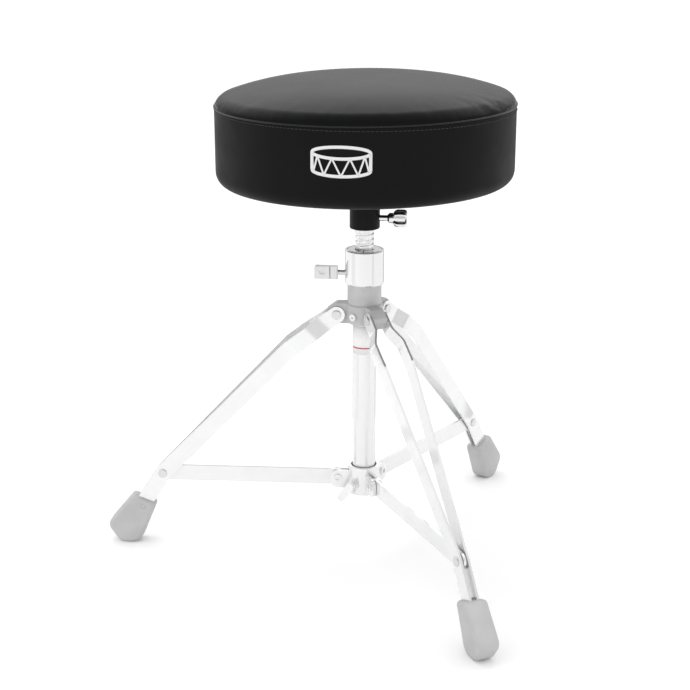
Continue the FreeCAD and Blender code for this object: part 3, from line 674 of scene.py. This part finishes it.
def stroke(points, width, closed=False):
    """A flat ribbon along 2-D points, in short pieces so that it can bend round the seat."""
    fine = []
    pairs = list(zip(points, points[1:] + points[:1])) if closed else list(zip(points, points[1:]))
    for a, b in pairs:
        steps = max(1, round((b - a).length / (1.5 * MM)))
        for i in range(steps):
            fine.append(a.lerp(b, i / steps))
    if not closed:
        fine.append(points[-1])
    count = len(fine)
    vertices, faces = [], []
    for i, p in enumerate(fine):
        before = fine[i - 1] if closed or i > 0 else p
        after = fine[(i + 1) % count] if closed or i < count - 1 else p
        tangent = (after - before).normalized()
        normal = Vector((-tangent.y, tangent.x)) * width / 2
        vertices.extend((p - normal, p, p + normal))
    for i in range(count if closed else count - 1):
        a, b = 3 * i, 3 * ((i + 1) % count)
        faces.append((a, b, b + 1, a + 1))
        faces.append((a + 1, b + 1, b + 2, a + 2))
    return vertices, faces


def ellipse(centre_z, half_width, half_height, start=0.0, sweep=math.tau, steps=48):
    closed = abs(sweep - math.tau) < 1e-6
    count = steps if closed else steps + 1
    return [Vector((half_width * math.cos(start + sweep * i / steps),
                    centre_z + half_height * math.sin(start + sweep * i / steps))) for i in range(count)]


def make_sign(side):
    """A plain drum pictogram in white ink."""
    half_width, lid, foot = 30 * MM, 8.5 * MM, -9.5 * MM
    drop = 6 * MM
    parts = [stroke(ellipse(lid, half_width, drop), SIGN_STROKE, closed=True),
             stroke(ellipse(foot, half_width, drop, math.pi, math.pi, 24), SIGN_STROKE)]
    for end in (-half_width, half_width):
        parts.append(stroke([Vector((end, lid)), Vector((end, foot))], SIGN_STROKE))
    laces = 5
    for i in range(2 * laces):
        turns = [math.pi + math.pi * (i + n) / (2 * laces) for n in (0, 1)]
        ends = []
        for n, turn in enumerate(turns):
            level = lid if (i + n) % 2 == 0 else foot
            ends.append(Vector((half_width * math.cos(turn), level + drop * math.sin(turn))))
        parts.append(stroke(ends, SIGN_STROKE * 0.55))
    vertices, faces = [], []
    for part, quads in parts:
        base = len(vertices)
        for p in part:
            vertices.append(on_side(side, SIGN_ANGLE + p.x / SEAT_R, SIGN_Z + p.y, 0.18 * MM))
        faces.extend(tuple(base + n for n in quad) for quad in quads)
    sign = new_object("seat_printed_sign", vertices, faces, WHITE_INK)
    thick = sign.modifiers.new("ink", "SOLIDIFY")
    thick.thickness = 0.12 * MM
    thick.offset = 0.0
    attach(sign, "seat")


def make_staples():
    """The staples that hold the dust cover under the seat."""
    low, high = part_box("seat_dust_cover")
    count, ring = 44, high.x - 5 * MM
    wire, half = 0.45 * MM, 5 * MM
    vertices, faces = [], []
    for i in range(count):
        angle = math.tau * i / count
        centre = polar(ring, angle, low.z - wire * 0.6)
        along = polar(1.0, angle + math.pi / 2 + 0.12 * math.sin(5.0 * i), 0.0)
        up = Vector((0, 0, 1))
        points = [centre - along * half + up * 1.2 * MM, centre - along * half * 0.96,
                  centre, centre + along * half * 0.96, centre + along * half + up * 1.2 * MM]
        part, quads = tube_along(points, wire, 6, closed=False)
        base = len(vertices)
        vertices.extend(part)
        faces.extend(tuple(base + n for n in quad) for quad in quads)
    staples = new_object("seat_staples", vertices, faces, MATERIALS["zinc_fasteners"])
    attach(staples, "seat")


COVER_HOLE_R = 30 * MM
# The cloth is flat out to the casting's flange and again at its stapled hem
SLACK_FROM, SLACK_TO = 72 * MM, 130 * MM


def make_dust_cover():
    """The thin cloth stapled under the seat: flat at the casting and the hem, slack and rippled between."""
    low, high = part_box("seat_dust_cover")
    rng = random.Random(11)
    waves = [(rng.uniform(0, math.tau), rng.uniform(60.0, 170.0), rng.uniform(0, math.tau)) for _ in range(9)]
    staples, rings, around = 44, 48, 352
    vertices, faces = [], []
    for i in range(rings + 1):
        radius = COVER_HOLE_R + (high.x - COVER_HOLE_R) * i / rings
        across = min(1.0, max(0.0, (radius - SLACK_FROM) / (SLACK_TO - SLACK_FROM)))
        slack = math.sin(math.pi * across) ** 2
        hem = math.exp(-((radius - SLACK_TO) / (7 * MM)) ** 2)
        for k in range(around):
            turn = math.tau * k / around
            p = polar(radius, turn, low.z + 0.6 * MM)
            ripple = sum(math.sin(rate * (p.x * math.cos(way) + p.y * math.sin(way)) + start)
                         for way, rate, start in waves) / 3
            p.z -= slack * (1.5 + ripple) * MM - hem * 0.35 * math.sin(staples * turn) * MM
            vertices.append(p)
    for i in range(rings):
        for k in range(around):
            a, b, m = i * around, (i + 1) * around, (k + 1) % around
            faces.append((a + k, a + m, b + m, b + k))
    cover = new_object("seat_under_cloth", vertices, faces, MATERIALS["black_cloth"])
    thick = cover.modifiers.new("cloth", "SOLIDIFY")
    thick.thickness = 0.4 * MM
    thick.offset = 0.0
    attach(cover, "seat")
    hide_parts("seat_dust_cover")


seam_line, seat_side = make_cushion()
make_piping(seam_line)
make_stitches(seat_side)
make_sign(seat_side)
make_dust_cover()
make_staples()

# ------------------------------------------------------------------ caps over the pins in the feet

def make_foot_caps():
    """Rubber caps, flush with the boots' sides, that close the holes the pins go in by."""
    boot_low, boot_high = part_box("leg_left_foot")
    boot_half = (boot_high.y - boot_low.y) / 2
    around = 28
    up = Vector((0.0, 0.0, 1.0))
    for leg in LEGS:
        low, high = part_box(f"leg_{leg}_foot_pin")
        pin_r = (high.z - low.z) / 2
        centre = (low + high) / 2
        across = Vector((-centre.y, centre.x, 0.0)).normalized()
        along = across.cross(up)
        profile = ((pin_r, boot_half - 5 * MM), (pin_r, boot_half - 0.3 * MM), (pin_r - 0.3 * MM, boot_half),
                   (pin_r * 0.5, boot_half + 0.08 * MM))
        vertices, faces = [], []
        for way in (-1.0, 1.0):
            base = len(vertices)
            for radius, depth in profile:
                for k in range(around):
                    turn = way * math.tau * k / around
                    rim = along * math.cos(turn) + up * math.sin(turn)
                    vertices.append(centre + across * (way * depth) + rim * radius)
            for row in range(len(profile) - 1):
                a, b = base + row * around, base + (row + 1) * around
                for k in range(around):
                    m = (k + 1) % around
                    faces.append((a + k, a + m, b + m, b + k))
            last = base + (len(profile) - 1) * around
            faces.append(tuple(last + k for k in range(around)))
            faces.append(tuple(base + k for k in reversed(range(around))))
        caps = new_object(f"leg_{leg}_foot_caps", vertices, faces, MATERIALS["grey_rubber"])
        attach(caps, f"leg_{leg}")


make_foot_caps()

# ------------------------------------------------------------------ blank label on the tube

def make_label():
    """A blank pale label with one thin red line, wrapped on the front of the tube under the hub."""
    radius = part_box("column_tube")[1].x + 0.12 * MM
    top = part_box("hub_casting")[0].z - 2 * MM
    centre, half_angle = math.radians(-94.8), math.radians(62.0)
    bands = ((top - 34 * MM, top, 0.0, LABEL_WHITE, "tube_label"),
             (top - 27 * MM, top - 25.6 * MM, 0.08 * MM, LABEL_RED, "tube_label_line"))
    steps = 40
    for low, high, proud, material, name in bands:
        vertices, faces = [], []
        for i in range(steps + 1):
            angle = centre + half_angle * (2 * i / steps - 1)
            vertices.append(polar(radius + proud, angle, low))
            vertices.append(polar(radius + proud, angle, high))
        for i in range(steps):
            faces.append((2 * i, 2 * i + 2, 2 * i + 3, 2 * i + 1))
        label = new_object(name, vertices, faces, material)
        thick = label.modifiers.new("film", "SOLIDIFY")
        thick.thickness = 0.1 * MM
        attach(label, "base")


make_label()

# ------------------------------------------------------------------ studio

DOME_LIGHT = 1.2
# (sine of the height above the horizon, brightness) of what the room shows in reflections
BEHIND_BY_HEIGHT = ((0.0, 0.47), (0.12, 0.52), (0.26, 0.88), (0.50, 1.7), (0.72, 1.9),
                    (0.90, 1.3), (1.0, 0.80))
FRONT_BY_HEIGHT = ((0.0, 1.0), (0.10, 0.85), (0.30, 0.78), (0.70, 0.60), (1.0, 0.80))
REFLECTED_GAIN = 2.0
# Grey cards seen only in reflections: (angle from the front, half width) in degrees, brightness
CARDS = ((54.0, 4.0, 0.86), (-62.0, 12.0, 1.04), (152.0, 16.0, 0.72), (-152.0, 16.0, 0.72))
CARD_R = 0.46
CARD_TOP = 0.50


FLOOR_HALF = 14.0
# The colour sockets of Blender's Mix node, whose names repeat for each kind of value
MIX_FIRST, MIX_SECOND, MIX_RESULT = 6, 7, 2


def make_floor():
    half = FLOOR_HALF
    floor = new_object("floor", [(-half, -half, 0), (half, -half, 0), (half, half, 0), (-half, half, 0)],
                       [(0, 1, 2, 3)], None, smooth=False)
    s = Shader("floor paint")
    s.set(Specular_IOR_Level=0.1)
    s.colour(s.mix(s.noise(0.8, 2.0), (0.90, 0.90, 0.90), (0.93, 0.93, 0.93)))
    s.set(Roughness=0.8)
    floor.data.materials.clear()
    floor.data.materials.append(s.material)


def make_world():
    """A white dome for soft light; in reflections, white low down behind and dark in front and overhead."""
    world = bpy.data.worlds.new("studio")
    world.use_nodes = True
    bpy.context.scene.world = world
    tree = world.node_tree
    tree.nodes.clear()

    def add(kind, **values):
        made = tree.nodes.new(kind)
        for key, value in values.items():
            setattr(made, key, value)
        return made

    def gradient(name, stops):
        ramp = add("ShaderNodeValToRGB", name=name)
        marks = ramp.color_ramp.elements
        greys = [(level / REFLECTED_GAIN,) * 3 + (1.0,) for _, level in stops]
        marks[0].position, marks[0].color = stops[0][0], greys[0]
        marks[1].position, marks[1].color = stops[-1][0], greys[-1]
        for (position, _), grey in zip(stops[1:-1], greys[1:-1]):
            marks.new(position).color = grey
        return ramp

    coords = add("ShaderNodeTexCoord")
    split = add("ShaderNodeSeparateXYZ")
    behind = gradient("behind", BEHIND_BY_HEIGHT)
    front = gradient("front", FRONT_BY_HEIGHT)
    side = add("ShaderNodeMapRange", interpolation_type="SMOOTHSTEP")
    side.inputs["From Min"].default_value, side.inputs["From Max"].default_value = -0.45, 0.35
    mirror = add("ShaderNodeMix", data_type="RGBA")
    both = add("ShaderNodeMix", data_type="RGBA")
    rays = add("ShaderNodeLightPath")
    back = add("ShaderNodeBackground")
    out = add("ShaderNodeOutputWorld")
    link = tree.links.new
    link(coords.outputs["Generated"], split.inputs["Vector"])
    link(split.outputs["Z"], behind.inputs["Fac"])
    link(split.outputs["Z"], front.inputs["Fac"])
    link(split.outputs["Y"], side.inputs["Value"])
    link(side.outputs["Result"], mirror.inputs["Factor"])
    link(front.outputs["Color"], mirror.inputs[MIX_FIRST])
    link(behind.outputs["Color"], mirror.inputs[MIX_SECOND])
    link(rays.outputs["Is Diffuse Ray"], both.inputs["Factor"])
    link(mirror.outputs[MIX_RESULT], both.inputs[MIX_FIRST])
    dome = DOME_LIGHT / REFLECTED_GAIN
    both.inputs[MIX_SECOND].default_value = (dome, dome, dome, 1.0)
    back.inputs["Strength"].default_value = REFLECTED_GAIN
    link(both.outputs[MIX_RESULT], back.inputs["Color"])
    link(back.outputs["Background"], out.inputs["Surface"])


LAMP_AIM = Vector((0.0, 0.0, 0.4))


def make_lamp(name, place, size, power):
    """A soft rectangular lamp, left out of reflections."""
    data = bpy.data.lights.new(name, "AREA")
    data.shape = "RECTANGLE"
    data.size, data.size_y = size
    data.energy = power
    lamp = bpy.data.objects.new(name, data)
    bpy.context.scene.collection.objects.link(lamp)
    lamp.location = place
    lamp.rotation_mode = "QUATERNION"
    lamp.rotation_quaternion = (LAMP_AIM - Vector(place)).to_track_quat("-Z", "Y")
    lamp.visible_glossy = False
    lamp.visible_camera = False


def make_card(number, degrees, half_width, level):
    """An upright curved grey card round the throne, seen only in reflections."""
    vertices, faces = [], []
    steps = 12
    for i in range(steps + 1):
        angle = math.radians(degrees + half_width * (2 * i / steps - 1) - 90.0)
        vertices.append(polar(CARD_R, angle, 0.0))
        vertices.append(polar(CARD_R, angle, CARD_TOP))
    for i in range(steps):
        faces.append((2 * i, 2 * i + 2, 2 * i + 3, 2 * i + 1))
    material = bpy.data.materials.new(f"card {number}")
    material.use_nodes = True
    nodes = material.node_tree.nodes
    nodes.clear()
    output = nodes.new("ShaderNodeOutputMaterial")
    glow = nodes.new("ShaderNodeEmission")
    glow.inputs["Color"].default_value = (level, level, level, 1.0)
    material.node_tree.links.new(glow.outputs["Emission"], output.inputs["Surface"])
    card = new_object(f"card_{number}", vertices, faces, material)
    card.visible_camera = card.visible_diffuse = card.visible_shadow = False


make_floor()
make_world()
for card_number, card_values in enumerate(CARDS):
    make_card(card_number, *card_values)
make_lamp("overhead softbox", (-0.6, 0.4, 2.6), (1.6, 1.6), 10.0)
make_lamp("left softbox", (-2.2, -1.6, 1.7), (0.9, 1.8), 5.0)
bpy.context.scene.view_settings.view_transform = "Standard"
